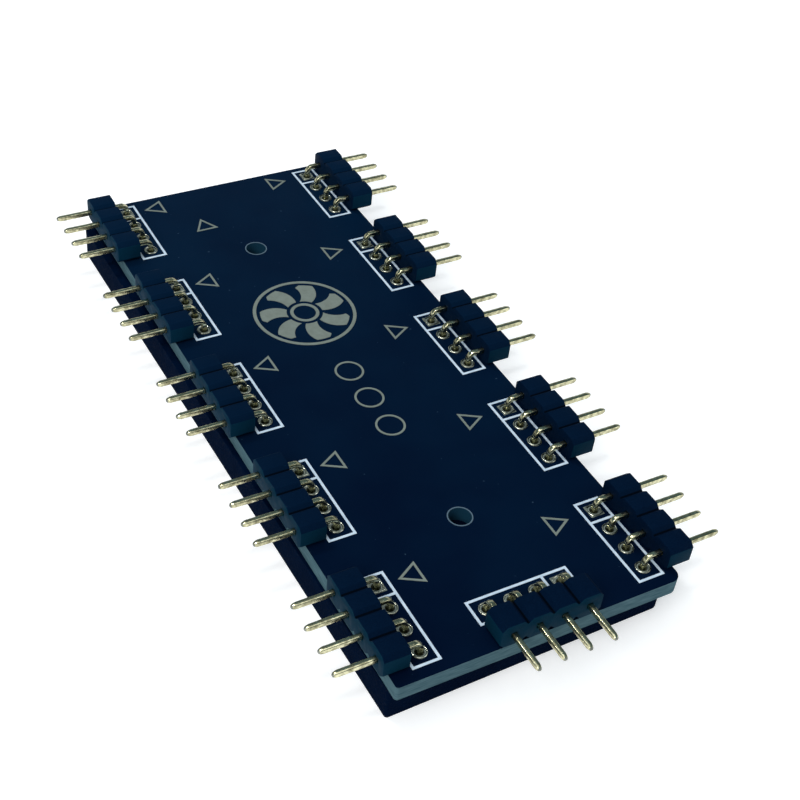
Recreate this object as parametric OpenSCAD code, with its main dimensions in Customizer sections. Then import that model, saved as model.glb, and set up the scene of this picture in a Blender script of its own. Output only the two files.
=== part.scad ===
// Hub board for addressable lighting fans: a narrow circuit board on a foam pad,
// with right-angle pin headers along both long edges and one across the front.
// X runs to the right, Y to the back, Z up. The origin is under the board's centre,
// on the face that the foam pad rests on. All sizes are in millimetres.

/* [Board] */
// Thickness of the laminate
board_t = 1.6; // [1:0.1:2.4]
// Left edge of the board to the left row of pads
left_inset = 3.45; // [2:0.05:6]
// Right row of pads to the right edge of the board
right_inset = 2.57; // [2:0.01:6]
// Distance between the left and right rows of pads
column_span = 22.8; // [22:0.1:40]
// Back edge of the board to the first pad of each row
back_inset = 2.1; // [1.8:0.1:8]
// Last pad of each row to the front edge of the board
front_inset = 2.5; // [2:0.1:12]
// Corner radius at the front right
corner_r = 1; // [0.2:0.1:1.8]
// Corner radius at the three other corners
small_corner_r = 0.3; // [0.1:0.1:1.8]

/* [Mounting holes] */
// Diameter of the two holes on the centre line
hole_d = 2.2; // [2:0.1:3.4]
// Back edge of the board to the back hole
back_hole_inset = 13.6; // [8:0.1:20]
// Front edge of the board to the front hole
front_hole_inset = 14.45; // [11:0.05:20]
// Width of the printed rim around each hole
hole_rim_w = 0.12; // [0.1:0.02:0.6]

/* [Headers] */
// Headers in each of the two long rows
row_count = 5; // [3:1:6]
// Pins in each header
pin_count = 4; // [3:1:5]
// Distance from pin to pin
pin_pitch = 2.54; // [2.2:0.01:2.8]
// Length of board between one header and the next
header_gap = 5.08; // [1:0.01:12]
// Sideways shift of the front header from the centre line
front_header_shift = 0.31; // [-0.8:0.01:0.8]
// Front edge of the board to the pads of the front header
front_header_inset = 4.1; // [2.2:0.1:5]
// Depth of a header's housing, along its pins
housing_depth = 2.54; // [1.5:0.01:4]
// Height of a housing
housing_h = 2.54; // [2:0.01:4]
// Depth of the notches between the pins
notch_depth = 0.45; // [0.2:0.05:0.6]
// Centre of a pad to the near face of its housing
housing_offset = 1.6; // [1.5:0.05:3]

/* [Pins] */
// Side of the square pins
pin_side = 0.5; // [0.4:0.01:0.6]
// Length of pin beyond the far face of the housing
pin_reach = 3.96; // [2:0.01:8]
// Length of pin below the board
tail_length = 1.3; // [1:0.1:2]
// Inner radius of the bend
bend_r = 0.4; // [0.2:0.05:0.6]
// Length of the taper at each end
taper_length = 0.5; // [0.3:0.05:0.9]
// Side of the square left at each tip
tip_side = 0.22; // [0.14:0.02:0.34]
// Gap on each side of a pin in its housing
pin_fit = 0.01; // [0.01:0.01:0.05]

/* [Plating and solder] */
// Diameter of the plated holes, inside the plating
plated_hole_d = 0.9; // [0.88:0.01:1.1]
// Width of the pads, round ones and the square first ones
pad_w = 1.45; // [1.3:0.05:2]
// Thickness of the plating
plating_t = 0.04; // [0.02:0.01:0.08]
// Height of the solder cones under the board
solder_h = 0.9; // [0.4:0.1:0.95]
// Upper face of the board to the top of the solder in the holes
solder_sink = 0.45; // [0.2:0.05:1]
// Gap between the solder and the pin or the plating
solder_fit = 0.005; // [0.005:0.005:0.01]

/* [Print] */
// Width of the white lines
print_line_w = 0.25; // [0.2:0.01:0.5]
// Thickness of the print
print_t = 0.03; // [0.02:0.01:0.06]
// Width of the gold lines
gold_line_w = 0.22; // [0.15:0.01:0.4]
// Side of the triangles that point at the headers
mark_side = 2.6; // [1.6:0.1:3]
// Left pads to the base of the triangles beside them
left_mark_offset = 4.4; // [4:0.1:5.5]
// Right pads to the base of the triangles beside them
right_mark_offset = 5.05; // [4:0.05:5.5]
// Back hole to the base of the single triangle behind it
back_mark_offset = 5.36; // [3:0.02:7]
// Sideways place of the single triangle
back_mark_x = -3.58; // [-5:0.02:3]
// Diameter of the rotor emblem
emblem_d = 11; // [8:0.5:13]
// Distance of the rotor emblem behind the board's centre
emblem_y = 10.4; // [9:0.1:11.5]
// Diameter of the emblem's hub
emblem_hub_d = 3.1; // [2:0.1:4]
// Width of the emblem's rim and hub lines
emblem_line_w = 0.36; // [0.2:0.02:0.6]
// Blades of the rotor emblem
blade_count = 7; // [5:1:9]
// Gap from the blades to the rim and to the hub
blade_gap = 0.38; // [0.2:0.02:0.8]
// Rings in front of the emblem
ring_count = 3; // [1:1:3]
// Diameter of the rings
ring_d = 3; // [2:0.1:3.6]
// Distance from ring to ring
ring_spacing = 4.4; // [4:0.1:5]

/* [Foam pad] */
// Thickness of the pad
pad_t = 3.5; // [2.6:0.1:6]
// Board edge to pad edge along each side
pad_side_margin = 0.1; // [0:0.05:0.3]
// Board edge to pad edge at each end
pad_end_margin = 0.7; // [0:0.05:1]
// Angle by which the pad is stuck on askew
pad_angle = 0.88; // [0:0.02:1]
// Sideways shift of the pad
pad_shift_x = -0.72; // [-0.8:0.02:0]
// Shift of the pad to the back
pad_shift_y = 0.45; // [0:0.05:0.5]
// Corner radius of the pad
pad_corner_r = 0.8; // [0.3:0.1:2]
// Room around the solder joints in the pad's slots
slot_room = 0.06; // [0.02:0.02:0.1]

/* [Hidden] */
$fn = 48;
eps = 0.01;
sides = ["left", "right"];

function header_name(side, row) = str(side, "_header_", row + 1);
function pin_name(header, pin) = str(header, "_pin_", pin + 1);

front_name = "front_header";
header_names = concat([for (side = sides) for (row = [0:row_count - 1]) header_name(side, row)], front_name);
pin_names = [for (name = header_names) for (pin = [0:pin_count - 1]) pin_name(name, pin)];
sheet_names = ["board", "foam_pad", "gold_plating", "solder_joints", "white_print"];

header_length = pin_count * pin_pitch;
row_pitch = header_length + header_gap;
first_to_last = (row_count - 1) * row_pitch + header_length - pin_pitch;
board_w = left_inset + column_span + right_inset;
board_l = back_inset + first_to_last + front_inset;
left_x = left_inset - board_w / 2;
right_x = board_w / 2 - right_inset;
first_y = board_l / 2 - back_inset;
front_y = front_header_inset - board_l / 2;
front_first_x = front_header_shift + (header_length - pin_pitch) / 2;
hole_ys = [board_l / 2 - back_hole_inset, front_hole_inset - board_l / 2];

board_bottom = pad_t;
board_top = board_bottom + board_t;
pin_z = board_top + housing_h / 2;
bend_outer_r = bend_r + pin_side;
drill_d = plated_hole_d + 2 * plating_t;
slot_depth = tail_length + slot_room;
slot_w = pad_w + 2 * slot_room;

// Shape of a rotor blade: its circles' sizes and places, as shares of the blade or the rim
blade_fullness = 0.72;
blade_back_size = 1.25;
blade_hollow_size = 1.1;
blade_hollow_lift = 1.55;
blade_hollow_place = 0.42;
blade_root_place = 1.5;

// Shape of a solder cone: its neck against the pin, and the waist above the neck
cone_neck_share = 0.75;
cone_waist_share = 0.4;
cone_waist_flare = 0.06;

// Places for the pieces of a header. Inside, the first pad is at the origin, the pins
// point along +X, and the other pads follow along -Y.

module at_side_header(side, row) {
    y = first_y - row * row_pitch;
    if (side == "left")
        translate([left_x, y, 0]) mirror([1, 0, 0]) children();
    else
        translate([right_x, y, 0]) children();
}

module at_front_header() {
    translate([front_first_x, front_y, 0]) rotate([0, 0, -90]) children();
}

module at_every_header() {
    for (side = sides)
        for (row = [0:row_count - 1])
            at_side_header(side, row) children();
    at_front_header() children();
}

// The children can read the number of their pin
module at_every_pin() {
    for ($pin = [0:pin_count - 1])
        translate([0, -$pin * pin_pitch, 0]) children();
}

module at_mounting_holes() {
    for (y = hole_ys)
        translate([0, y, 0]) children();
}

// Flat shapes

// What is cut off a square corner at the origin to round it
module corner_waste(radius) {
    difference() {
        square(radius + eps);
        circle(r = radius);
    }
}

// A rectangle about the origin with its own radius at each corner
module rounded_plate(width, length, front_left, front_right, back_right, back_left) {
    radii = [front_left, front_right, back_right, back_left];
    difference() {
        square([width, length], center = true);
        for (i = [0:3]) {
            sx = (i == 1 || i == 2) ? 1 : -1;
            sy = i >= 2 ? 1 : -1;
            translate([sx * (width / 2 - radii[i]), sy * (length / 2 - radii[i])])
                mirror([sx < 0 ? 1 : 0, 0]) mirror([0, sy < 0 ? 1 : 0]) corner_waste(radii[i]);
        }
    }
}

module ring(outer_d, width) {
    difference() {
        circle(d = outer_d);
        circle(d = outer_d - 2 * width);
    }
}

// A slot from the square first pad of a header to its round last one
module pad_slot(width) {
    run = header_length - pin_pitch;
    translate([-width / 2, -run]) square([width, run + width / 2]);
    translate([0, -run]) circle(d = width);
}

module pad_outline(is_first) {
    if (is_first)
        square(pad_w, center = true);
    else
        circle(d = pad_w);
}

// An even triangle with its base on the Y axis and its tip towards +X
module even_triangle(side) {
    polygon([[0, -side / 2], [side * sqrt(3) / 2, 0], [0, side / 2]]);
}

module triangle_outline() {
    inner_side = mark_side - 2 * sqrt(3) * gold_line_w;
    difference() {
        even_triangle(mark_side);
        translate([gold_line_w, 0]) even_triangle(inner_side);
    }
}

// One swept blade of the rotor, between its hub and its rim
module rotor_blade(hub_r, rim_r) {
    blade_r = (rim_r - hub_r) * blade_fullness;
    difference() {
        intersection() {
            translate([(hub_r + rim_r) / 2, 0]) circle(r = blade_r);
            translate([hub_r * blade_root_place, blade_r]) circle(r = blade_r * blade_back_size);
            circle(r = rim_r);
        }
        translate([rim_r * blade_hollow_place, blade_r * blade_hollow_lift])
            circle(r = blade_r * blade_hollow_size);
        circle(r = hub_r);
    }
}

module rotor_emblem() {
    root_r = emblem_hub_d / 2 + blade_gap;
    end_r = emblem_d / 2 - emblem_line_w - blade_gap;
    ring(emblem_d, emblem_line_w);
    ring(emblem_hub_d, emblem_line_w);
    for (i = [0:blade_count - 1])
        rotate(i * 360 / blade_count) rotor_blade(root_r, end_r);
}

// Side view of a row of pin cells: notched between the pins, chamfered at the ends
module housing_profile() {
    n = notch_depth;
    h = housing_h;
    joints = [for (i = [0:pin_count]) -i * pin_pitch];
    top = [for (i = [0:pin_count - 1])
        each [[joints[i], h - n], [joints[i] - n, h], [joints[i + 1] + n, h]]];
    bottom = [for (i = [pin_count - 1:-1:0])
        each [[joints[i + 1], n], [joints[i + 1] + n, 0], [joints[i] - n, 0]]];
    ends = [[-header_length, h - n], [0, n]];
    translate([pin_pitch / 2, 0]) polygon(concat(top, [ends[0]], bottom, [ends[1]]));
}

// Pieces

module board() {
    color("#10161f")
    difference() {
        translate([0, 0, board_bottom]) linear_extrude(board_t)
            rounded_plate(board_w, board_l, small_corner_r, corner_r, small_corner_r, small_corner_r);
        at_mounting_holes()
            translate([0, 0, board_bottom - eps]) cylinder(h = board_t + 2 * eps, d = hole_d);
        at_every_header() at_every_pin()
            translate([0, 0, board_bottom - eps]) cylinder(h = board_t + 2 * eps, d = drill_d);
    }
}

// The pad is solid foam with a slot under each row of soldered tails
module foam_pad() {
    foam_w = board_w - 2 * pad_side_margin;
    foam_l = board_l - 2 * pad_end_margin;
    color("#15171a")
    difference() {
        translate([pad_shift_x, pad_shift_y, 0]) rotate([0, 0, pad_angle]) linear_extrude(pad_t)
            rounded_plate(foam_w, foam_l, small_corner_r, pad_corner_r, pad_corner_r, pad_corner_r);
        at_every_header()
            translate([0, 0, pad_t - slot_depth]) linear_extrude(slot_depth + eps) pad_slot(slot_w);
    }
}

// The lining of one hole, with a pad on each face of the board
module plated_hole(is_first) {
    barrel_l = board_t + 2 * plating_t;
    translate([0, 0, board_bottom - plating_t])
    difference() {
        union() {
            cylinder(h = barrel_l, d = drill_d);
            linear_extrude(plating_t) pad_outline(is_first);
            translate([0, 0, board_t + plating_t]) linear_extrude(plating_t) pad_outline(is_first);
        }
        translate([0, 0, -eps]) cylinder(h = barrel_l + 2 * eps, d = plated_hole_d);
    }
}

// Gold on the board: the lined holes, the triangles, the rotor emblem and the rings
module gold_plating() {
    color("#c2a25c") {
        at_every_header() at_every_pin() plated_hole($pin == 0);
        translate([0, 0, board_top]) linear_extrude(plating_t) {
            for (side = sides)
                for (row = [0:row_count - 1])
                    at_side_header(side, row)
                        translate([side == "left" ? -left_mark_offset : -right_mark_offset, 0])
                            triangle_outline();
            translate([back_mark_x, hole_ys[0] + back_mark_offset]) rotate(90) triangle_outline();
            translate([0, emblem_y]) rotor_emblem();
            for (i = [0:ring_count - 1])
                translate([0, -i * ring_spacing]) ring(ring_d, gold_line_w);
        }
    }
}

// One joint: the filled lower part of the hole, and a hollow-sided cone under the board
module solder_joint() {
    hole_r = plated_hole_d / 2 - solder_fit;
    foot_r = pad_w / 2 - plating_t;
    low = board_bottom - plating_t;
    core = pin_side + 2 * solder_fit;
    neck_r = core * cone_neck_share;
    difference() {
        rotate_extrude() {
            translate([0, low - eps]) square([hole_r, board_top - solder_sink - low + eps]);
            translate([0, low - solder_h])
                polygon([[0, 0], [neck_r, 0], [neck_r + cone_waist_flare, solder_h * cone_waist_share],
                    [foot_r, solder_h], [0, solder_h]]);
        }
        translate([-core / 2, -core / 2, 0]) cube([core, core, pin_z]);
    }
}

module solder_joints() {
    color("#b9ab84") at_every_header() at_every_pin() solder_joint();
}

// A box around each row of pads with a bar that sets off the first, and the hole rims
module white_print() {
    half = pin_pitch / 2;
    w = print_line_w;
    color("#e9edf0")
    translate([0, 0, board_top]) linear_extrude(print_t) {
        at_every_header() {
            translate([0, half - header_length / 2])
                difference() {
                    square([pin_pitch + w, header_length + w], center = true);
                    square([pin_pitch - w, header_length - w], center = true);
                }
            translate([-half, -half - w / 2]) square([pin_pitch, w]);
        }
        at_mounting_holes() ring(hole_d + 2 * hole_rim_w, hole_rim_w);
    }
}

module housing() {
    passage = pin_side + 2 * pin_fit;
    color("#1b1e22")
    difference() {
        translate([housing_offset, 0, board_top]) rotate([90, 0, 90])
            linear_extrude(housing_depth) housing_profile();
        at_every_pin()
            translate([housing_offset - eps, -passage / 2, pin_z - passage / 2])
                cube([housing_depth + 2 * eps, passage, passage]);
    }
}

// Outline of a straight pin end, pointing along +X, from x = 0 to its tip
module tapered_bar(length) {
    half = pin_side / 2;
    tip = tip_side / 2;
    shoulder = length - taper_length;
    polygon([[0, -half], [shoulder, -half], [length, -tip], [length, tip], [shoulder, half], [0, half]]);
}

// A square bar with a tapered end, pointing along +X
module pin_leg(length) {
    intersection() {
        translate([0, 0, -pin_side / 2]) linear_extrude(pin_side) tapered_bar(length);
        rotate([90, 0, 0]) translate([0, 0, -pin_side / 2]) linear_extrude(pin_side) tapered_bar(length);
    }
}

// A right-angle pin: out through the housing, round the bend and down through the board
module pin() {
    bend_x = bend_outer_r - pin_side / 2;
    out_l = housing_offset + housing_depth + pin_reach - bend_x;
    down_l = pin_z - bend_x - (board_bottom - tail_length);
    color("#c9a961") {
        translate([bend_x, 0, pin_z]) pin_leg(out_l);
        translate([0, 0, pin_z - bend_x]) rotate([0, 90, 0]) pin_leg(down_l);
        translate([bend_x, 0, pin_z - bend_x]) rotate([90, 0, 0]) rotate([0, 0, 90])
            rotate_extrude(angle = 90) translate([bend_r, -pin_side / 2]) square(pin_side);
    }
}

board();
foam_pad();
gold_plating();
solder_joints();
white_print();

for (side = sides)
    for (row = [0:row_count - 1]) {
        name = header_name(side, row);
        at_side_header(side, row) housing();
        for (i = [0:pin_count - 1])
            at_side_header(side, row) translate([0, -i * pin_pitch, 0]) pin();
    }

at_front_header() housing();
for (i = [0:pin_count - 1])
    at_front_header() translate([0, -i * pin_pitch, 0]) pin();
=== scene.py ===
"""Looks of a hub board for addressable lighting fans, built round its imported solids.

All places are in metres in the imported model's own frame: X to the right, Y to the back, Z up, with
the foam pad's lower face at zero. Sizes that a maker would give in millimetres are written with MM.
"""

from __future__ import annotations

import logging
import math
from collections.abc import Iterable, Sequence
from dataclasses import dataclass
from enum import Enum, IntEnum

import bmesh
import bpy
from mathutils import Matrix, Vector


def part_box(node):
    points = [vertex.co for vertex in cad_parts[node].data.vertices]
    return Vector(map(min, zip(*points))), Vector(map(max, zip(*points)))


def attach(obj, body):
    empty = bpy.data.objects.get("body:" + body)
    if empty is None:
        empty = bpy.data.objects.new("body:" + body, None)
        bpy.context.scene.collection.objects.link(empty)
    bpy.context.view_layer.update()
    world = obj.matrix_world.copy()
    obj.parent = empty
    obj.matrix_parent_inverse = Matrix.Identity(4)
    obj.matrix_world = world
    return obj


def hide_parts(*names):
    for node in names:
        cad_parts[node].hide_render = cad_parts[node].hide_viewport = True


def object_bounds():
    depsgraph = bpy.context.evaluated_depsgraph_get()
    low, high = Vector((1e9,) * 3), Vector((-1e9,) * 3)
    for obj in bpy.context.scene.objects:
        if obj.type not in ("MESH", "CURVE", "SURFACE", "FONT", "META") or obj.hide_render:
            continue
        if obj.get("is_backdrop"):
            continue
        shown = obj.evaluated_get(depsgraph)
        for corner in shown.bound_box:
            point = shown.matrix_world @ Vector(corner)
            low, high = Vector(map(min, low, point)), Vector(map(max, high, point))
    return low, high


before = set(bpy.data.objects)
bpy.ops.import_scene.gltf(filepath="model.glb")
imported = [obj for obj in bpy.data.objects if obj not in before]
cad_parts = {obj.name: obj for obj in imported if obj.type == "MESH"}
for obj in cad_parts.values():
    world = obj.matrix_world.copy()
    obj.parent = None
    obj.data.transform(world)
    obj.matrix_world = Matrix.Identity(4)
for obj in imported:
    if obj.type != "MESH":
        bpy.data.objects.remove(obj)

log = logging.getLogger("hub_board")

MM = 0.001
ROOT = "root"
BACK_HOLE_INSET = 13.6 * MM
FRONT_HOLE_INSET = 14.45 * MM
HOLE_REACH = 2 * MM
FINE_DETAIL = 3.0
FLAT_ANGLE = math.radians(1)
ON_PLANE = 1e-8
MIX_INPUTS = (6, 7)
MIX_RESULT = 2

Colour = tuple[float, float, float]


class Edge(Enum):
    """The edge of the board that a header looks out over, as the header's turn about Z in degrees."""

    RIGHT = 0.0
    LEFT = 180.0
    FRONT = -90.0

    def turn(self) -> Matrix:
        """Returns the turn from a header's own frame, pins along +X, to the board's."""
        return Matrix.Rotation(math.radians(self.value), 4, "Z")


class PadShape(Enum):
    """The outline of a soldered pad: square marks the first pin."""

    SQUARE = "square"
    ROUND = "round"


class NylonSlot(IntEnum):
    """The places of a housing's further materials, after that of its body: painted shade in the grooves and
    painted light on the lit sides.
    """

    GROOVE = 1
    SIDE = 2


def linear(colour: Colour) -> tuple[float, float, float, float]:
    """Turns a screen colour into the renderer's own light values.

    Args:
        colour: Red, green and blue from 0 to 255.

    Returns:
        The same colour as linear red, green, blue and a full alpha.
    """
    parts = [c / 255 for c in colour]
    red, green, blue = (p / 12.92 if p <= 0.04045 else ((p + 0.055) / 1.055) ** 2.4 for p in parts)
    return red, green, blue, 1.0


def hole_axes() -> list[tuple[float, float]]:
    """Returns the places along X and Y of the two mounting holes' axes."""
    low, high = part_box("board")
    middle = (low.x + high.x) / 2
    return [(middle, high.y - BACK_HOLE_INSET), (middle, low.y + FRONT_HOLE_INSET)]


class Graph:
    """The node tree of one material, with short calls for what the finishes share."""

    def __init__(self, name: str) -> None:
        """Starts a material with its shader.

        Args:
            name: The material's name.
        """
        self.material = bpy.data.materials.new(name)
        self.material.use_nodes = True
        self.tree = self.material.node_tree
        self.shader = self.tree.nodes["Principled BSDF"]
        coordinates = self.node("ShaderNodeTexCoord")
        self.place = coordinates.outputs["Object"]
        self.normal = coordinates.outputs["Normal"]

    def node(self, kind: str, **settings: object) -> bpy.types.Node:
        """Adds a node.

        Args:
            kind: Blender's name for the kind of node.
            **settings: Properties to set on it.

        Returns:
            The new node.
        """
        made = self.tree.nodes.new(kind)
        for name, value in settings.items():
            setattr(made, name, value)
        return made

    def join(self, source: bpy.types.NodeSocket | float, target: bpy.types.NodeSocket) -> None:
        """Links an output to an input, or sets the input where the source is a plain number.

        Args:
            source: The output or the number.
            target: The input.
        """
        if isinstance(source, (int, float)):
            target.default_value = source
        else:
            self.tree.links.new(source, target)

    def stretched(self, along: Sequence[float]) -> bpy.types.NodeSocket:
        """Scales the piece's own coordinates.

        Args:
            along: The scale along X, Y and Z.

        Returns:
            The scaled coordinates.
        """
        mapping = self.node("ShaderNodeMapping")
        mapping.inputs["Scale"].default_value = along
        self.join(self.place, mapping.inputs["Vector"])
        return mapping.outputs["Vector"]

    def noise(
        self, grain: float, detail: float = 2.0, place: bpy.types.NodeSocket | None = None
    ) -> bpy.types.NodeSocket:
        """Adds a noise texture.

        Args:
            grain: The size of its features in metres.
            detail: Its octaves.
            place: Coordinates, or the piece's own where left out.

        Returns:
            The noise value, from 0 to 1.
        """
        texture = self.node("ShaderNodeTexNoise")
        texture.inputs["Scale"].default_value = 1 / grain
        texture.inputs["Detail"].default_value = detail
        self.join(place or self.place, texture.inputs["Vector"])
        return texture.outputs["Fac"]

    def towards_back(self, half_length: float) -> bpy.types.NodeSocket:
        """Gives a ramp along the board.

        Args:
            half_length: Half the ramp's length in metres.

        Returns:
            0 at the front and 1 at the back.
        """
        parts = self.node("ShaderNodeSeparateXYZ")
        self.join(self.place, parts.inputs["Vector"])
        return self.spread(parts.outputs["Y"], 0, 1, -half_length, half_length)

    def near_axis(self, x: float, y: float, radius: float) -> bpy.types.NodeSocket:
        """Marks what lies close to an upright axis.

        Args:
            x: The axis's place along X.
            y: The axis's place along Y.
            radius: How far from it the mark reaches.

        Returns:
            1 within the radius and 0 outside it.
        """
        flat = self.node("ShaderNodeVectorMath", operation="MULTIPLY")
        self.join(self.place, flat.inputs[0])
        flat.inputs[1].default_value = (1, 1, 0)
        reach = self.node("ShaderNodeVectorMath", operation="DISTANCE")
        self.join(flat.outputs["Vector"], reach.inputs[0])
        reach.inputs[1].default_value = (x, y, 0)
        inside = self.node("ShaderNodeMath", operation="LESS_THAN")
        self.join(reach.outputs["Value"], inside.inputs[0])
        inside.inputs[1].default_value = radius
        return inside.outputs["Value"]

    def on_side(self, limit: float) -> bpy.types.NodeSocket:
        """Marks the upright sides of a piece.

        Args:
            limit: The share of the normal that may point up or down.

        Returns:
            1 on the sides and 0 on the top and the bottom.
        """
        parts = self.node("ShaderNodeSeparateXYZ")
        self.join(self.normal, parts.inputs["Vector"])
        upright = self.node("ShaderNodeMath", operation="ABSOLUTE")
        self.join(parts.outputs["Z"], upright.inputs[0])
        below = self.node("ShaderNodeMath", operation="LESS_THAN")
        self.join(upright.outputs["Value"], below.inputs[0])
        below.inputs[1].default_value = limit
        return below.outputs["Value"]

    def cells(self, grain: float) -> bpy.types.NodeSocket:
        """Adds a cell texture.

        Args:
            grain: The size of a cell in metres.

        Returns:
            The distance from a cell's middle.
        """
        texture = self.node("ShaderNodeTexVoronoi")
        texture.inputs["Scale"].default_value = 1 / grain
        self.join(self.place, texture.inputs["Vector"])
        return texture.outputs["Distance"]

    def spread(
        self,
        value: bpy.types.NodeSocket,
        low: float = 0.0,
        high: float = 1.0,
        start: float = 0.3,
        stop: float = 0.7,
    ) -> bpy.types.NodeSocket:
        """Maps a value onto a new range, by default the useful middle of a noise.

        Args:
            value: The value to map.
            low: What start becomes.
            high: What stop becomes.
            start: The lower end of the old range.
            stop: The upper end of the old range.

        Returns:
            The mapped value, held within the new range.
        """
        spreader = self.node("ShaderNodeMapRange")
        self.join(value, spreader.inputs["Value"])
        ends = {"From Min": start, "From Max": stop, "To Min": low, "To Max": high}
        for name, number in ends.items():
            spreader.inputs[name].default_value = number
        return spreader.outputs["Result"]

    def add_share(
        self, first: bpy.types.NodeSocket, second: bpy.types.NodeSocket, share: float
    ) -> bpy.types.NodeSocket:
        """Adds a share of one value to another.

        Args:
            first: The value taken whole.
            second: The value taken in part.
            share: How much of the second is added.

        Returns:
            The sum.
        """
        adder = self.node("ShaderNodeMath", operation="MULTIPLY_ADD")
        self.join(second, adder.inputs[0])
        adder.inputs[1].default_value = share
        self.join(first, adder.inputs[2])
        return adder.outputs["Value"]

    def blend(
        self,
        factor: bpy.types.NodeSocket,
        low: Colour | bpy.types.NodeSocket,
        high: Colour | bpy.types.NodeSocket,
    ) -> bpy.types.NodeSocket:
        """Blends two colours.

        Args:
            factor: 0 gives the first colour and 1 the second.
            low: The first colour, a screen colour or an output.
            high: The second colour, likewise.

        Returns:
            The blended colour.
        """
        mixer = self.node("ShaderNodeMix", data_type="RGBA")
        self.join(factor, mixer.inputs["Factor"])
        for index, colour in zip(MIX_INPUTS, (low, high)):
            if isinstance(colour, tuple):
                mixer.inputs[index].default_value = linear(colour)
            else:
                self.join(colour, mixer.inputs[index])
        return mixer.outputs[MIX_RESULT]

    def paint(self, colour: bpy.types.NodeSocket) -> None:
        """Gives the surface a varying colour."""
        self.join(colour, self.shader.inputs["Base Color"])

    def roughen(self, roughness: bpy.types.NodeSocket) -> None:
        """Gives the surface a varying roughness."""
        self.join(roughness, self.shader.inputs["Roughness"])

    def raise_surface(self, height: bpy.types.NodeSocket, depth: float) -> None:
        """Lets a height pattern shade the surface.

        Args:
            height: The pattern.
            depth: The height of its full range in metres.
        """
        bump = self.node("ShaderNodeBump")
        bump.inputs["Distance"].default_value = depth
        self.join(height, bump.inputs["Height"])
        self.join(bump.outputs["Normal"], self.shader.inputs["Normal"])


@dataclass(frozen=True)
class Finish:
    """A surface finish: what is the same all over a material."""

    name: str
    colour: Colour
    roughness: float
    metallic: float = 0.0
    specular: float = 0.5
    gloss_tint: Colour = (255, 255, 255)

    def build(self) -> bpy.types.Material:
        """Makes the material.

        Returns:
            The finished material.
        """
        graph = Graph(self.name)
        graph.shader.inputs["Base Color"].default_value = linear(self.colour)
        graph.shader.inputs["Roughness"].default_value = self.roughness
        graph.shader.inputs["Metallic"].default_value = self.metallic
        graph.shader.inputs["Specular IOR Level"].default_value = self.specular
        graph.shader.inputs["Specular Tint"].default_value = linear(self.gloss_tint)
        self.work(graph)
        return graph.material

    def work(self, graph: Graph) -> None:
        """Adds what varies over the surface."""


@dataclass(frozen=True)
class MaskedLaminate(Finish):
    """Lacquered laminate: dark solder mask on both faces, bare glass fibre on every cut side."""

    mask_towards_back: Colour = (5, 29, 52)
    edge: Colour = (92, 120, 128)
    edge_shade: Colour = (66, 94, 103)
    # Painted shade on the walls of the two mounting holes.
    bore_shade: Colour = (26, 62, 82)
    dust: Colour = (44, 64, 84)
    edge_roughness: float = 0.85
    peel: float = 0.35 * MM
    peel_depth: float = 0.003 * MM
    cloud: float = 9 * MM
    cloud_share: float = 0.35
    ramp: float = 40 * MM
    ramp_share: float = 0.65
    ply: float = 0.16 * MM
    fibre: float = 1.6 * MM
    speck: float = 0.35 * MM
    speck_start: float = 0.87
    speck_stop: float = 0.92
    flat_normal: float = 0.5

    def work(self, graph: Graph) -> None:
        """Adds the lacquer's clouds, dust and orange peel, and the plies on the cut sides.

        Args:
            graph: The material's nodes.
        """
        clouds = graph.spread(graph.noise(self.cloud), 0, self.cloud_share)
        # The lacquer is lighter towards the back of the board.
        tone = graph.add_share(clouds, graph.towards_back(self.ramp), self.ramp_share)
        lacquer = graph.blend(tone, self.colour, self.mask_towards_back)
        specks = graph.spread(graph.noise(self.speck, 0.0), 0, 1, self.speck_start, self.speck_stop)
        dusty = graph.blend(specks, lacquer, self.dust)
        cut_colour = self.cut_side(graph)
        on_edge = graph.on_side(self.flat_normal)
        graph.paint(graph.blend(on_edge, dusty, cut_colour))
        graph.roughen(graph.spread(on_edge, self.roughness, self.edge_roughness, 0, 1))
        graph.raise_surface(graph.noise(self.peel), self.peel_depth)

    def cut_side(self, graph: Graph) -> bpy.types.NodeSocket:
        """Colours what was cut: pale plies round the outside, and painted shade on the walls of the two
        mounting holes.

        Args:
            graph: The material's nodes.

        Returns:
            The colour of the cut sides.
        """
        along = (1 / self.fibre, 1 / self.fibre, 1 / self.ply)
        plies = graph.noise(1.0, FINE_DETAIL, graph.stretched(along))
        colour = graph.blend(graph.spread(plies), self.edge_shade, self.edge)
        # Painted shade inside the two mounting holes.
        for x, y in hole_axes():
            colour = graph.blend(graph.near_axis(x, y, HOLE_REACH), colour, self.bore_shade)
        return colour


@dataclass(frozen=True)
class Foam(Finish):
    """Closed-cell foam: matt, with fine open cells where it was cut."""

    pale: Colour = (3, 18, 42)
    cell: float = 0.22 * MM
    cell_depth: float = 0.06 * MM
    cell_share: float = 0.4
    drift: float = 2.5 * MM
    drift_share: float = 0.6

    def work(self, graph: Graph) -> None:
        """Adds the cells and a slow drift of tone.

        Args:
            graph: The material's nodes.
        """
        cells = graph.cells(self.cell)
        drift = graph.spread(graph.noise(self.drift), 0, self.drift_share)
        tone = graph.add_share(drift, graph.spread(cells, 0, self.cell_share, 0, 1), 1.0)
        graph.paint(graph.blend(tone, self.colour, self.pale))
        graph.raise_surface(cells, self.cell_depth)


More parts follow.
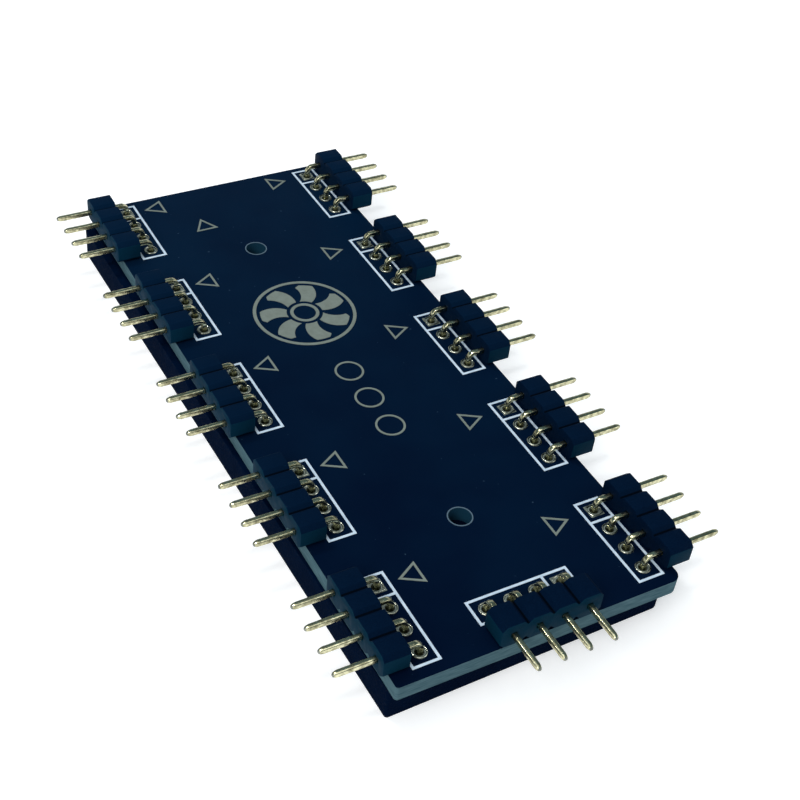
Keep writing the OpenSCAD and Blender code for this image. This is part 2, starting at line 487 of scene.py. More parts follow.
@dataclass(frozen=True)
class PlatedMetal(Finish):
    """Thin plating on metal: a fine drawn grain and patches that are a little duller."""

    worn: Colour = (150, 132, 92)
    patch: float = 0.9 * MM
    grain: float = 0.09 * MM
    grain_depth: float = 0.002 * MM
    duller: float = 0.14

    def work(self, graph: Graph) -> None:
        """Adds the duller patches and the grain.

        Args:
            graph: The material's nodes.
        """
        patches = graph.noise(self.patch, FINE_DETAIL)
        graph.paint(graph.blend(graph.spread(patches), self.colour, self.worn))
        graph.roughen(graph.spread(patches, self.roughness - self.duller / 2, self.roughness + self.duller))
        graph.raise_surface(graph.noise(self.grain), self.grain_depth)


@dataclass(frozen=True)
class ScreenInk(Finish):
    """Screen-printed ink: matt, a little uneven, with the weave of the screen."""

    thin: Colour = (188, 206, 222)
    hole_rim: Colour = (86, 106, 120)
    patch: float = 0.7 * MM
    weave: float = 0.08 * MM
    weave_depth: float = 0.004 * MM

    def work(self, graph: Graph) -> None:
        """Adds thinner patches and the weave.

        Args:
            graph: The material's nodes.
        """
        colour = graph.blend(graph.spread(graph.noise(self.patch)), self.colour, self.thin)
        for x, y in hole_axes():
            colour = graph.blend(graph.near_axis(x, y, HOLE_REACH), colour, self.hole_rim)
        graph.paint(colour)
        graph.raise_surface(graph.noise(self.weave), self.weave_depth)


@dataclass(frozen=True)
class MouldedNylon(Finish):
    """Glass-filled nylon straight from the mould: satin, with a faint speckle and soft flow marks."""

    back_tone: Colour = (5, 29, 52)
    speck: Colour = (5, 25, 48)
    ramp: float = 40 * MM
    flow: float = 1.6 * MM
    speckle: float = 0.12 * MM
    speckle_share: float = 0.6
    speckle_depth: float = 0.006 * MM
    rougher: float = 0.12

    def work(self, graph: Graph) -> None:
        """Adds the speckle and the flow marks.

        Args:
            graph: The material's nodes.
        """
        speckles = graph.noise(self.speckle)
        body = graph.blend(graph.towards_back(self.ramp), self.colour, self.back_tone)
        graph.paint(graph.blend(graph.spread(speckles, 0, self.speckle_share), body, self.speck))
        graph.roughen(graph.spread(graph.noise(self.flow), self.roughness, self.roughness + self.rougher))
        graph.raise_surface(speckles, self.speckle_depth)


@dataclass(frozen=True)
class Sheet:
    """The white sweep that the board lies on: its own tone, lifted to white where it is seen directly."""

    name: str = "sweep_paper"
    tone: float = 0.82
    lift: float = 0.42

    def build(self) -> bpy.types.Material:
        """Makes the paper.

        Returns:
            A matt material whose lift shows only to the camera, in reflections and through glass.
        """
        graph = Graph(self.name)
        tree = graph.tree
        tree.nodes.remove(graph.shader)
        matt = graph.node("ShaderNodeBsdfDiffuse")
        matt.inputs["Color"].default_value = (self.tone, self.tone, self.tone, 1)
        glow = graph.node("ShaderNodeEmission")
        path = graph.node("ShaderNodeLightPath")
        seen = path.outputs["Is Camera Ray"]
        for name in ("Is Glossy Ray", "Is Transmission Ray"):
            either = graph.node("ShaderNodeMath", operation="MAXIMUM")
            graph.join(seen, either.inputs[0])
            graph.join(path.outputs[name], either.inputs[1])
            seen = either.outputs["Value"]
        amount = graph.node("ShaderNodeMath", operation="MULTIPLY")
        graph.join(seen, amount.inputs[0])
        amount.inputs[1].default_value = self.lift
        graph.join(amount.outputs["Value"], glow.inputs["Strength"])
        both = graph.node("ShaderNodeAddShader")
        graph.join(matt.outputs["BSDF"], both.inputs[0])
        graph.join(glow.outputs["Emission"], both.inputs[1])
        graph.join(both.outputs["Shader"], tree.nodes["Material Output"].inputs["Surface"])
        return graph.material


COOL_GLOSS: Colour = (120, 215, 255)
MASK = MaskedLaminate(
    "solder_mask", (2, 11, 34), roughness=0.45, specular=0.025, gloss_tint=COOL_GLOSS
)
FOAM = Foam("black_foam", (1, 12, 34), roughness=0.95, specular=0.02, gloss_tint=COOL_GLOSS)
MARK_GOLD = PlatedMetal(
    "plated_copper", (136, 146, 137), roughness=0.5, metallic=0.35, worn=(122, 131, 122)
)
RIM_GOLD = PlatedMetal(
    "plated_rim", (226, 227, 208), roughness=0.22, metallic=1.0,
    worn=(112, 114, 100), patch=0.3 * MM, grain=0.14 * MM, grain_depth=0.012 * MM,
)
# Painted shade: the mouth of each drilled hole inside its rim, darkened as the shadow deep in the hole.
THROAT_SHADE = PlatedMetal("painted_throat_shade", (16, 18, 20), roughness=0.6, specular=0.1, worn=(8, 10, 12))
WIRE_GOLD = PlatedMetal(
    "plated_wire", (230, 225, 186), roughness=0.16, metallic=1.0,
    worn=(134, 130, 98), patch=0.45 * MM, grain=0.16 * MM, grain_depth=0.008 * MM,
)
# The cut end of each pin, its grey also painted shade where the tips look dull in the light.
BARE_END_AND_SHADE = PlatedMetal(
    "bare_wire_end_and_shade", (152, 154, 142), roughness=0.4, metallic=1.0, worn=(122, 124, 114)
)
SOLDER = PlatedMetal(
    "solder", (168, 170, 160), roughness=0.28, metallic=1.0,
    worn=(44, 46, 42), patch=0.3 * MM, grain=0.2 * MM, grain_depth=0.02 * MM,
)
INK = ScreenInk("white_ink", (214, 229, 242), roughness=0.75, specular=0.1)
NYLON = MouldedNylon(
    "black_nylon", (2, 15, 36), roughness=0.5, specular=0.022, gloss_tint=COOL_GLOSS
)
# Painted light: a lighter copy of the nylon for the side that the pins leave by and for both ends, as if
# lit from there.
LIT_NYLON_SIDE = MouldedNylon(
    "nylon_side", (7, 40, 57), roughness=0.5, specular=0.015, gloss_tint=COOL_GLOSS,
    back_tone=(7, 44, 66), speck=(9, 46, 66),
)
# Painted shade: the strip at the bottom of each V between pins, darkened as if in shadow.
GROOVE = MouldedNylon(
    "nylon_in_the_groove", (0, 5, 15), roughness=0.6, specular=0.02,
    back_tone=(0, 9, 22), speck=(0, 8, 18),
)


@dataclass(frozen=True)
class Palette:
    """The materials, made once and shared by the pieces."""

    mask: bpy.types.Material
    foam: bpy.types.Material
    mark_gold: bpy.types.Material
    rim_gold: bpy.types.Material
    throat_shade: bpy.types.Material
    wire_gold: bpy.types.Material
    bare_end_and_shade: bpy.types.Material
    solder: bpy.types.Material
    ink: bpy.types.Material
    nylon: bpy.types.Material
    nylon_side: bpy.types.Material
    groove: bpy.types.Material

    @classmethod
    def mixed(cls) -> Palette:
        """Builds every finish once."""
        metals = (MARK_GOLD, RIM_GOLD, THROAT_SHADE, WIRE_GOLD, BARE_END_AND_SHADE, SOLDER)
        nylons = (NYLON, LIT_NYLON_SIDE, GROOVE)
        return cls(*(finish.build() for finish in (MASK, FOAM, *metals, INK, *nylons)))


def once_each(elements: Iterable[object]) -> list[object]:
    """Returns the elements without repeats, in the order in which they come, so that runs agree."""
    return list(dict.fromkeys(elements))


def vertices_of(geometry: Iterable[object]) -> list[bmesh.types.BMVert]:
    """Returns the vertices in an operator's result."""
    return [g for g in geometry if isinstance(g, bmesh.types.BMVert)]


def edges_of(geometry: Iterable[object]) -> list[bmesh.types.BMEdge]:
    """Returns the edges in an operator's result."""
    return [g for g in geometry if isinstance(g, bmesh.types.BMEdge)]


def cut(bm: bmesh.types.BMesh, point: Sequence[float], normal: Sequence[float]) -> None:
    """Scores the whole mesh along a plane without taking anything away.

    Args:
        bm: The mesh.
        point: A point on the plane.
        normal: The plane's normal.
    """
    geometry = bm.verts[:] + bm.edges[:] + bm.faces[:]
    bmesh.ops.bisect_plane(bm, geom=geometry, plane_co=point, plane_no=normal, dist=ON_PLANE)


def round_edges(
    bm: bmesh.types.BMesh, edges: list[bmesh.types.BMEdge], radius: float, segments: int = 2
) -> None:
    """Rounds edges.

    Args:
        bm: The mesh.
        edges: The edges to round.
        radius: How far the rounding reaches from each edge.
        segments: Its steps.
    """
    bmesh.ops.bevel(
        bm, geom=edges, offset=radius, segments=segments, profile=0.5,
        affect="EDGES", clamp_overlap=True, material=-1,
    )


def sharp_edges(bm: bmesh.types.BMesh, degrees: float = 25.0) -> list[bmesh.types.BMEdge]:
    """Returns the edges where two faces meet at more than the given angle."""
    return [e for e in bm.edges if e.is_manifold and e.calc_face_angle() > math.radians(degrees)]


def sort_by_place(bm: bmesh.types.BMesh) -> None:
    """Numbers a mesh's elements by their places, because the operators leave the order to chance.

    Args:
        bm: The mesh.
    """
    ranked = (
        sorted(bm.verts, key=lambda vertex: vertex.co[:]),
        sorted(bm.edges, key=lambda edge: (edge.verts[0].co + edge.verts[1].co)[:]),
        sorted(bm.faces, key=lambda face: (face.calc_center_bounds()[:], face.calc_area())),
    )
    for elements, order in zip((bm.verts, bm.edges, bm.faces), ranked):
        for index, element in enumerate(order):
            element.index = index
        elements.sort()


def place_mesh(
    bm: bmesh.types.BMesh, name: str, material: bpy.types.Material
) -> bpy.types.Object:
    """Turns a mesh into a smooth object at the origin.

    Args:
        bm: The mesh, which is freed.
        name: The object's name.
        material: Its material.

    Returns:
        The new object.
    """
    bmesh.ops.recalc_face_normals(bm, faces=bm.faces[:])
    sort_by_place(bm)
    mesh = bpy.data.meshes.new(name)
    bm.to_mesh(mesh)
    bm.free()
    mesh.shade_smooth()
    mesh.materials.append(material)
    placed = bpy.data.objects.new(name, mesh)
    bpy.context.scene.collection.objects.link(placed)
    return placed


def finish_piece(
    bm: bmesh.types.BMesh, name: str, material: bpy.types.Material, smooth: float = 40.0
) -> bpy.types.Object:
    """Turns a mesh into a piece of the object, riding on the board.

    Args:
        bm: The mesh, which is freed.
        name: The piece's name.
        material: Its material.
        smooth: The angle in degrees above which an edge stays sharp.

    Returns:
        The new piece.
    """
    piece = place_mesh(bm, name, material)
    piece.data.set_sharp_from_angle(angle=math.radians(smooth))
    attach(piece, ROOT)
    return piece


def own_box(node: str, edge: Edge) -> tuple[Vector, Vector]:
    """Gives a node's box in the frame of its header, turned back so that the pins point along +X.

    Args:
        node: The CAD node's name.
        edge: The edge that the header looks out over.

    Returns:
        The lowest and highest corner.
    """
    corners = [edge.turn().inverted() @ Vector(corner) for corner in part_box(node)]
    return Vector(map(min, *corners)), Vector(map(max, *corners))


class Drawn:
    """A square bar drawn out step by step from a ring with rounded corners."""

    def __init__(self, side: float, corner: float) -> None:
        """Lays the first ring flat at the origin.

        Args:
            side: The width of the square section.
            corner: How far its corners are rounded.
        """
        self.bm = bmesh.new()
        radius = side / math.sqrt(2)
        eighth = Matrix.Rotation(math.radians(45), 4, "Z")
        bmesh.ops.create_circle(self.bm, cap_ends=True, segments=4, radius=radius, matrix=eighth)
        bmesh.ops.bevel(
            self.bm, geom=self.bm.verts[:], offset=corner, segments=2, profile=0.5,
            affect="VERTICES", material=-1,
        )
        bmesh.ops.delete(self.bm, geom=self.bm.faces[:], context="FACES_ONLY")
        self.ring = self.bm.edges[:]
        self.middle = Vector()

    def corners(self) -> list[bmesh.types.BMVert]:
        """Returns the vertices of the ring at the working end."""
        return once_each(v for e in self.ring for v in e.verts)

    def follow(self, direction: Vector, length: float, shape: Sequence[tuple[float, float]]) -> None:
        """Draws the bar on through a run of sizes.

        Args:
            direction: The direction, one unit long.
            length: The length of the whole run.
            shape: Pairs of share of the length and size, the first pair being the ring at the working end.
        """
        for (start, size), (stop, new_size) in zip(shape, shape[1:]):
            self.draw(direction * (stop - start) * length, new_size / size)

    def resize(self, scale: float) -> None:
        """Scales the ring at the working end about its own middle."""
        about = Matrix.Translation(-self.middle)
        bmesh.ops.scale(self.bm, verts=self.corners(), vec=(scale, scale, scale), space=about)

    def draw(self, step: Vector, scale: float = 1.0) -> None:
        """Draws the bar on.

        Args:
            step: How far and in which direction.
            scale: The size of the new ring against the last one.
        """
        made = bmesh.ops.extrude_edge_only(self.bm, edges=self.ring)["geom"]
        self.ring = edges_of(made)
        bmesh.ops.translate(self.bm, verts=vertices_of(made), vec=step)
        self.middle = self.middle + step
        self.resize(scale)

    def bend(self, pivot: Vector, axis: Vector, angle: float, steps: int) -> None:
        """Bends the bar round a pivot.

        Args:
            pivot: A point on the bend's axis.
            axis: The axis.
            angle: How far to bend, in radians.
            steps: Straight steps in the bend.
        """
        ring = self.ring + self.corners()
        made = bmesh.ops.spin(
            self.bm, geom=ring, cent=pivot, axis=axis, dvec=(0, 0, 0), angle=angle,
            steps=steps, use_duplicate=False,
        )
        self.ring = edges_of(made["geom_last"])
        self.middle = pivot + Matrix.Rotation(angle, 3, axis) @ (self.middle - pivot)

    def close(self) -> bmesh.types.BMesh:
        """Caps both ends and returns the mesh."""
        bmesh.ops.holes_fill(self.bm, edges=[e for e in self.bm.edges if e.is_boundary], sides=0)
        return self.bm


@dataclass(frozen=True)
class Pin:
    """One right-angle pin, from its tail under the board to its tip."""

    name: str
    edge: Edge
    bend_radius: float = 0.4 * MM
    taper: float = 0.5 * MM
    corner: float = 0.08 * MM
    # Length of the grey cap at the tip: the cut end, and painted shade.
    bare: float = 0.16 * MM
    bend_steps: int = 8
    nose: tuple[tuple[float, float], ...] = (
        (0.0, 1.0), (0.25, 0.94), (0.5, 0.84), (0.72, 0.72), (0.88, 0.57), (0.96, 0.43), (1.0, 0.28)
    )

    def build(self, material: bpy.types.Material, end_and_shade_material: bpy.types.Material) -> bpy.types.Object:
        """Draws the pin up from its tail, round the bend and out to its tip.

        Args:
            material: The plated wire.
            end_and_shade_material: The grey at the tip: the cut end of the wire, and painted shade where
                the tips look dull in the light.

        Returns:
            The pin, which replaces its CAD solid.
        """
        low, high = own_box(self.name, self.edge)
        side = high.y - low.y
        middle = self.bend_radius + side / 2
        start = Vector((low.x + side / 2, (low.y + high.y) / 2, low.z))
        pin = Drawn(side, self.corner)
        bmesh.ops.translate(pin.bm, verts=pin.bm.verts[:], vec=start)
        pin.middle = start.copy()
        pin.resize(self.nose[-1][1])
        up = Vector((0, 0, 1))
        out = Vector((1, 0, 0))
        pin.follow(up, self.taper, [(1 - share, size) for share, size in reversed(self.nose)])
        pin.draw(up * (high.z - low.z - side / 2 - middle - self.taper))
        pin.bend(pin.middle + out * middle, Vector((0, 1, 0)), math.radians(90), self.bend_steps)
        pin.draw(out * (high.x - pin.middle.x - self.taper))
        pin.follow(out, self.taper, self.nose)
        bm = pin.close()
        for face in bm.faces:
            # The grey cap at the tip: the cut end, and painted shade.
            face.material_index = int(face.calc_center_median().x > high.x - self.bare)
        bmesh.ops.transform(bm, matrix=self.edge.turn(), verts=bm.verts[:])
        piece = finish_piece(bm, f"{self.name}_wire", material, smooth=50)
        piece.data.materials.append(end_and_shade_material)
        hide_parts(self.name)
        return piece


@dataclass(frozen=True)
class Housing:
    """The moulded housing of one header: notched between its pins and chamfered at its ends."""

    name: str
    edge: Edge
    pin_names: tuple[str, ...]
    notch: float = 0.45 * MM
    # Half the width of the strip at the bottom of each V that is painted dark as shade.
    groove: float = 0.11 * MM
    shaded_groove_normal: float = 0.5
    # How far a face must turn outwards, or to an end, to get the painted light.
    lit_side_normal: float = 0.5
    lit_end_normal: float = 0.9
    window_gap: float = 0.05 * MM
    window_depth: float = 0.3 * MM
    edge_round: float = 0.06 * MM

    def build(self, palette: Palette) -> bpy.types.Object:
        """Shapes the housing from a block.

        Args:
            palette: The shared materials.

        Returns:
            The housing, which replaces its CAD solid.
        """
        low, high = own_box(self.name, self.edge)
        middle = (low + high) / 2
        size = high - low
        bm = bmesh.new()
        block = Matrix.Translation(middle) @ Matrix.Diagonal((*size, 1))
        bmesh.ops.create_cube(bm, size=1, matrix=block)
        self.notch_between_pins(bm, low, high)
        self.open_windows(bm, low, high)
        bmesh.ops.dissolve_limit(
            bm, angle_limit=FLAT_ANGLE, verts=bm.verts[:], edges=bm.edges[:], delimit={"MATERIAL"}
        )
        round_edges(bm, sharp_edges(bm), self.edge_round)
        bmesh.ops.transform(bm, matrix=self.edge.turn(), verts=bm.verts[:])
        piece = finish_piece(bm, f"{self.name}_housing", palette.nylon)
        # The painted groove shade, then the painted light on the sides.
        for material in (palette.groove, palette.nylon_side):
            piece.data.materials.append(material)
        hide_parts(self.name)
        return piece

    def notch_between_pins(self, bm: bmesh.types.BMesh, low: Vector, high: Vector) -> None:
        """Presses a V into the top and bottom at each joint, and chamfers both ends.

        Args:
            bm: The block.
            low: Its lowest corner.
            high: Its highest corner.
        """
        pitch = (high.y - low.y) / len(self.pin_names)
        centre = (low.z + high.z) / 2
        joints = [low.y + i * pitch for i in range(1, len(self.pin_names))]
        for joint in joints:
            for side in (-self.notch, -self.groove, 0, self.groove, self.notch):
                cut(bm, (0, joint + side, 0), (0, 1, 0))
        for vertex in bm.verts:
            sunk = max(0.0, self.notch - self.from_joint(vertex.co.y, joints))
            vertex.co.z += sunk if vertex.co.z < centre else -sunk
        self.sort_faces(bm, joints)
        across = [e for e in bm.edges if self.is_end_edge(e, low, high)]
        bmesh.ops.bevel(
            bm, geom=across, offset=self.notch, segments=1, profile=0.5,
            affect="EDGES", clamp_overlap=False, material=-1,
        )

    @staticmethod
    def from_joint(y: float, joints: list[float]) -> float:
        """Returns how far a place along the header is from the nearest joint."""
        return min(abs(y - joint) for joint in joints)

    def sort_faces(self, bm: bmesh.types.BMesh, joints: list[float]) -> None:
        """Gives their own materials to the painted shade at the bottom of the grooves and to the painted
        light on the side that the pins leave by and on the two ends.

        Args:
            bm: The notched block.
            joints: The places of the joints along the header.
        """
        for face in bm.faces:
            face.normal_update()
            across, along, _ = face.normal
            at_joint = self.from_joint(face.calc_center_median().y, joints) < self.groove
            # Painted shade at the bottom of each V.
            if at_joint and abs(across) < self.shaded_groove_normal:
                face.material_index = NylonSlot.GROOVE
            # Painted light on the outer side and both ends.
            elif across > self.lit_side_normal or abs(along) > self.lit_end_normal:
                face.material_index = NylonSlot.SIDE

    @staticmethod
    def is_end_edge(edge: bmesh.types.BMEdge, low: Vector, high: Vector) -> bool:
        """Says whether an edge runs along the pins at the top or bottom of an end.

        Args:
            edge: The edge.
            low: The block's lowest corner.
            high: The block's highest corner.

        Returns:
            True where it does.
        """
        near = 1e-7
        first, second = (v.co for v in edge.verts)
        at_end = any(abs(first.y - y) < near and abs(second.y - y) < near for y in (low.y, high.y))
        return at_end and abs(first.z - second.z) < near

    def open_windows(self, bm: bmesh.types.BMesh, low: Vector, high: Vector) -> None:
        """Sinks a square window round each pin, on both faces that the pins pass through.

        Args:
            bm: The notched block.
            low: Its lowest corner.
            high: Its highest corner.
        """
        pins = [own_box(name, self.edge) for name in self.pin_names]
        side = pins[0][1].y - pins[0][0].y
        half = side / 2 + self.window_gap
        level = pins[0][1].z - side / 2
        centres = [(a.y + b.y) / 2 for a, b in pins]
        for y in centres:
            for shift in (-half, half):
                cut(bm, (0, y + shift, 0), (0, 1, 0))
        for shift in (-half, half):
            cut(bm, (0, 0, level + shift), (0, 0, 1))
        for x, inwards in ((low.x, 1), (high.x, -1)):
            spots = [Vector((x, y, level)) for y in centres]
            middles = {f: f.calc_center_median() for f in bm.faces}
            windows = [f for f, m in middles.items() if any((m - s).length < half / 4 for s in spots)]
            made = bmesh.ops.extrude_discrete_faces(bm, faces=windows)["faces"]
            inner = once_each(v for f in made for v in f.verts)
            bmesh.ops.translate(bm, verts=inner, vec=(inwards * self.window_depth, 0, 0))


@dataclass(frozen=True)
class Header:
    """One pin header: its housing and its pins."""

    name: str
    edge: Edge
    pin_names: tuple[str, ...]

    @classmethod
    def found(cls, name: str) -> Header:
        """Reads a header's edge and pins from the names of the nodes.

        Args:
            name: The housing's node.

        Returns:
            The header.
        """
        edge = next(e for e in Edge if name.startswith(e.name.lower()))
        pins = sorted(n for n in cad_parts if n.startswith(f"{name}_pin_"))
        return cls(name, edge, tuple(pins))

    def build(self, palette: Palette) -> None:
        """Builds the housing and the pins.

        Args:
            palette: The shared materials.
        """
        Housing(self.name, self.edge, self.pin_names).build(palette)
        for pin in self.pin_names:
            Pin(pin, self.edge).build(palette.wire_gold, palette.bare_end_and_shade)
        log.info("%s: a housing and %d pins", self.name, len(self.pin_names))

    def pads(self) -> list[tuple[Vector, PadShape]]:
        """Returns each pad's centre on the board, with its outline."""
        places = []
        for i, pin in enumerate(self.pin_names):
            low, high = own_box(pin, self.edge)
            side = high.y - low.y
            centre = self.edge.turn() @ Vector((low.x + side / 2, (low.y + high.y) / 2, 0))
            places.append((centre, PadShape.SQUARE if i == 0 else PadShape.ROUND))
        return places


@dataclass(frozen=True)
class PadRims:
    """The swelled, plated rims round the drilled holes on the printed face.

    The profile is the rim's section from outside in, as pairs of share of its width and height.
    """

    outer: float = 0.74 * MM
    inner: float = 0.44 * MM
    swell: float = 0.1 * MM
    sink: float = 0.5 * MM
    corner: float = 0.16
    segments: int = 32
    throat_shade_start: int = 5
    profile: tuple[tuple[float, float], ...] = (
        (1.0, 0.0), (0.97, 0.45), (0.88, 0.85), (0.74, 1.0),
        (0.58, 0.85), (0.46, 0.3), (0.2, -0.2), (0.0, -0.7),
    )

    def ring(
        self, bm: bmesh.types.BMesh, centre: Vector, radius: float, squareness: float
    ) -> list[bmesh.types.BMEdge]:
        """Adds one loop of a rim.

        Args:
            bm: The rims' mesh.
            centre: The loop's middle.
            radius: Its radius, or half its side where it is square.
            squareness: 0 for a circle, 1 for a square with rounded corners.

        Returns:
            The loop's edges.
        """
        made = bmesh.ops.create_circle(
            bm, cap_ends=False, segments=self.segments, radius=radius, matrix=Matrix.Translation(centre)
        )["verts"]
        for vertex in made:
            arm = vertex.co - centre
            reach = max(abs(arm.x), abs(arm.y)) + self.corner * min(abs(arm.x), abs(arm.y))
            vertex.co = centre + arm * (1 + squareness * (radius / reach - 1))
        return once_each(e for v in made for e in v.link_edges)

    def build(
        self,
        pads: list[tuple[Vector, PadShape]],
        level: float,
        material: bpy.types.Material,
        throat_shade: bpy.types.Material,
    ) -> bpy.types.Object:
        """Makes every rim.

        Args:
            pads: The pads' centres and outlines.
            level: The height of the plated face.
            material: The plating.
            throat_shade: The mouth of the hole, painted dark as shade.

        Returns:
            All the rims as one piece.
        """
        bm = bmesh.new()
        for centre, shape in pads:
            loops = []
            for share, height in self.profile:
                radius = self.inner + share * (self.outer - self.inner)
                lift = self.swell * height if height > 0 else self.sink * height
                squareness = share if shape is PadShape.SQUARE else 0.0
                loops.append(self.ring(bm, Vector((centre.x, centre.y, level + lift)), radius, squareness))
            for i, (first, second) in enumerate(zip(loops, loops[1:])):
                for face in bmesh.ops.bridge_loops(bm, edges=first + second)["faces"]:
                    # Faces past throat_shade_start are the mouth of the hole, painted dark as shade.
                    face.material_index = int(i >= self.throat_shade_start)
        piece = finish_piece(bm, "pad_rims", material, smooth=60)
        piece.data.materials.append(throat_shade)
        log.info("pad_rims: %d rims", len(pads))
        return piece


@dataclass(frozen=True)
class FoamPad:
    """The foam pad under the board, with the soft cut edges of foam."""

    node: str = "foam_pad"
    weld: float = 0.001 * MM
    near: float = 0.001 * MM
    rim: float = 1.6 * MM
    sharp: float = 60.0
    edge_round: float = 0.14 * MM
    round_steps: int = 3

    def build(self, material: bpy.types.Material) -> bpy.types.Object:
        """Softens a copy of the CAD solid.

        Args:
            material: The foam.

        Returns:
            The pad, which replaces its CAD solid.
        """
        low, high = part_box(self.node)
        bm = bmesh.new()
        bm.from_mesh(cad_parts[self.node].data)
        bmesh.ops.remove_doubles(bm, verts=bm.verts[:], dist=self.weld)
        bmesh.ops.dissolve_limit(bm, angle_limit=FLAT_ANGLE, verts=bm.verts[:], edges=bm.edges[:])
        outer = [e for e in sharp_edges(bm, self.sharp) if self.is_outer(e, low, high)]
        round_edges(bm, outer, self.edge_round, self.round_steps)
        bmesh.ops.triangulate(bm, faces=[f for f in bm.faces if len(f.verts) > 4])
        piece = finish_piece(bm, "foam_pad_cut", material)
        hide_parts(self.node)
        log.info("foam_pad_cut: %d edges softened", len(outer))
        return piece

    def is_outer(self, edge: bmesh.types.BMEdge, low: Vector, high: Vector) -> bool:
        """Says whether an edge lies round the outside of the pad's lower or upper face.

        Args:
            edge: The edge.
            low: The pad's lowest corner.
            high: The pad's highest corner.

        Returns:
            True where it does.
        """
        ends = [v.co for v in edge.verts]
        flat = any(all(abs(end.z - z) < self.near for end in ends) for z in (low.z, high.z))
        middle = (ends[0] + ends[1]) / 2
        at_side = min(middle.x - low.x, high.x - middle.x) < self.rim
        at_end = min(middle.y - low.y, high.y - middle.y) < self.rim
        return flat and (at_side or at_end)


@dataclass(frozen=True)
class HubBoard:
    """The whole object: the board, its headers and the pad under it."""

    palette: Palette
    headers: tuple[Header, ...]

    @classmethod
    def found(cls, palette: Palette) -> HubBoard:
        """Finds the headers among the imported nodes.

        Args:
            palette: The shared materials.

        Returns:
            The hub board.
        """
        names = sorted(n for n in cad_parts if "header" in n and "_pin_" not in n)
        return cls(palette, tuple(Header.found(name) for name in names))

    def dress_solids(self) -> None:
        """Gives the CAD solids that stay their materials."""
        finishes = {
            "board": self.palette.mask,
            "gold_plating": self.palette.mark_gold,
            "solder_joints": self.palette.solder,
            "white_print": self.palette.ink,
        }
        for node, material in finishes.items():
            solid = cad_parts[node]
            solid.data.materials.clear()
            solid.data.materials.append(material)
            log.info("%s: dressed in %s", node, material.name)

    def build(self) -> None:
        """Builds and dresses every piece in order."""
        self.dress_solids()
        FoamPad().build(self.palette.foam)
        for header in self.headers:
            header.build(self.palette)
        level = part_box("gold_plating")[1].z
        pads = [pad for header in self.headers for pad in header.pads()]
        PadRims().build(pads, level, self.palette.rim_gold, self.palette.throat_shade)


@dataclass(frozen=True)
class Lamp:
    """A square soft light aimed at the middle of the object."""

    name: str
    place: tuple[float, float, float]
    side: float
    level: float

    def build(self, aim: Vector) -> None:
        """Hangs the lamp, with the power that gives its level on a surface square to it.

        Args:
            aim: What it points at.
        """
        place = Vector(self.place)
        reach = (aim - place).length
        light = bpy.data.lights.new(self.name, "AREA")
        light.shape = "SQUARE"
        light.size = self.side
        light.energy = self.level * math.pi**2 * reach**2
        lamp = bpy.data.objects.new(self.name, light)
        lamp.location = place
        lamp.rotation_euler = (aim - place).to_track_quat("-Z", "Y").to_euler()
        bpy.context.scene.collection.objects.link(lamp)
        log.info("%s: level %.2f at %.2f m", self.name, self.level, reach)


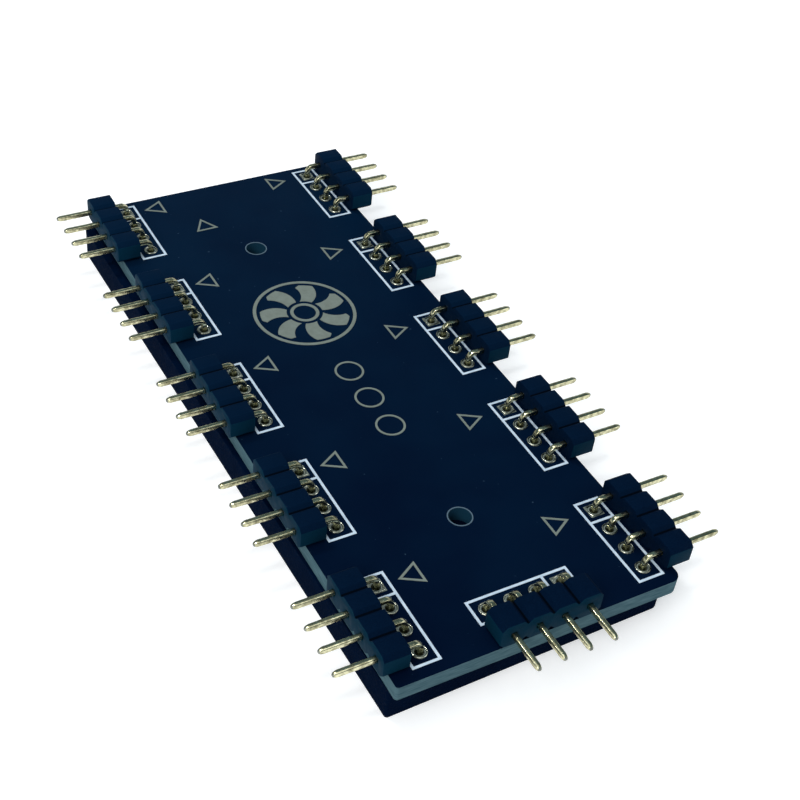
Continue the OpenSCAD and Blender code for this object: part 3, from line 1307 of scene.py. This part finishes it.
@dataclass(frozen=True)
class Studio:
    """The plain white sweep, the soft lamps and the dim room above them."""

    radius: float = 1.6
    wall: float = 0.7
    fillet: float = 0.4
    gap: float = 0.02 * MM
    weld: float = 0.1 * MM
    bend_steps: int = 16
    segments: int = 96
    room: Colour = (84, 106, 118)
    room_strength: float = 1.0
    lamps: tuple[Lamp, ...] = (
        Lamp("key_lamp", (-0.4, -0.24, 0.42), 0.32, 0.55),
        Lamp("top_lamp", (-0.05, 0.02, 0.6), 0.5, 0.3),
        Lamp("side_lamp", (0.4, -0.25, 0.3), 0.3, 0.18),
        Lamp("spark_lamp", (-0.12, 0.22, 0.5), 0.06, 0.2),
    )

    def sweep(self) -> None:
        """Spins the floor and its low curved wall, a hair under the foam's face."""
        bm = bmesh.new()
        middle = bm.verts.new((0, 0, 0))
        reach = self.radius - self.fillet
        flat = bm.verts.new((reach, 0, 0))
        bm.edges.new((middle, flat))
        turned = bmesh.ops.spin(
            bm, geom=[flat], cent=(reach, 0, self.fillet), axis=(0, -1, 0), dvec=(0, 0, 0),
            angle=math.radians(90), steps=self.bend_steps, use_duplicate=False,
        )
        top = vertices_of(turned["geom_last"])[0]
        wall = bmesh.ops.extrude_vert_indiv(bm, verts=[top])
        bmesh.ops.translate(bm, verts=wall["verts"], vec=(0, 0, self.wall - self.fillet))
        bmesh.ops.spin(
            bm, geom=bm.verts[:] + bm.edges[:], cent=(0, 0, 0), axis=(0, 0, 1), dvec=(0, 0, 0),
            angle=math.radians(360), steps=self.segments, use_merge=True, use_duplicate=False,
        )
        bmesh.ops.remove_doubles(bm, verts=bm.verts[:], dist=self.weld)
        bmesh.ops.translate(bm, verts=bm.verts[:], vec=(0, 0, -self.gap))
        floor = place_mesh(bm, "sweep", Sheet().build())
        floor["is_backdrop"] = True

    def build(self, aim: Vector) -> None:
        """Sets up the sweep, the room and the lamps.

        Args:
            aim: What the lamps point at.
        """
        self.sweep()
        world = bpy.data.worlds.new("room")
        world.use_nodes = True
        background = world.node_tree.nodes["Background"]
        background.inputs["Color"].default_value = linear(self.room)
        background.inputs["Strength"].default_value = self.room_strength
        bpy.context.scene.world = world
        for lamp in self.lamps:
            lamp.build(aim)


@dataclass(frozen=True)
class Viewpoint:
    """The camera: where it stands, what it looks at, its roll, its lens and its small sideways shift."""

    place: tuple[float, float, float] = (-53.47 * MM, -91.67 * MM, 93.83 * MM)
    target: tuple[float, float, float] = (0.43 * MM, -4.98 * MM, 5.1 * MM)
    roll: float = 6.06
    lens: float = 61.54
    sensor: float = 36.0
    shift: float = 0.03
    nearest: float = 0.001
    farthest: float = 20.0

    def build(self) -> None:
        """Makes the camera and gives it to the scene."""
        data = bpy.data.cameras.new("camera")
        data.lens = self.lens
        data.sensor_width = self.sensor
        data.shift_x = self.shift
        data.clip_start = self.nearest
        data.clip_end = self.farthest
        camera = bpy.data.objects.new("camera", data)
        place, target = Vector(self.place), Vector(self.target)
        look = (target - place).to_track_quat("-Z", "Y").to_matrix().to_4x4()
        rolled = look @ Matrix.Rotation(math.radians(self.roll), 4, "Z")
        camera.matrix_world = Matrix.Translation(place) @ rolled
        bpy.context.scene.collection.objects.link(camera)
        bpy.context.scene.camera = camera
        log.info("camera: %.1f mm lens, %.3f m away", self.lens, (target - place).length)


def main() -> None:
    """Builds the hub board and the studio round it."""
    logging.basicConfig(level=logging.INFO, format="%(name)s: %(message)s")
    cad_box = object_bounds()
    aim = (cad_box[0] + cad_box[1]) / 2
    Viewpoint().build()
    HubBoard.found(Palette.mixed()).build()
    Studio().build(aim)
    bpy.context.scene.view_settings.view_transform = "Standard"


if __name__ == "__main__":
    main()
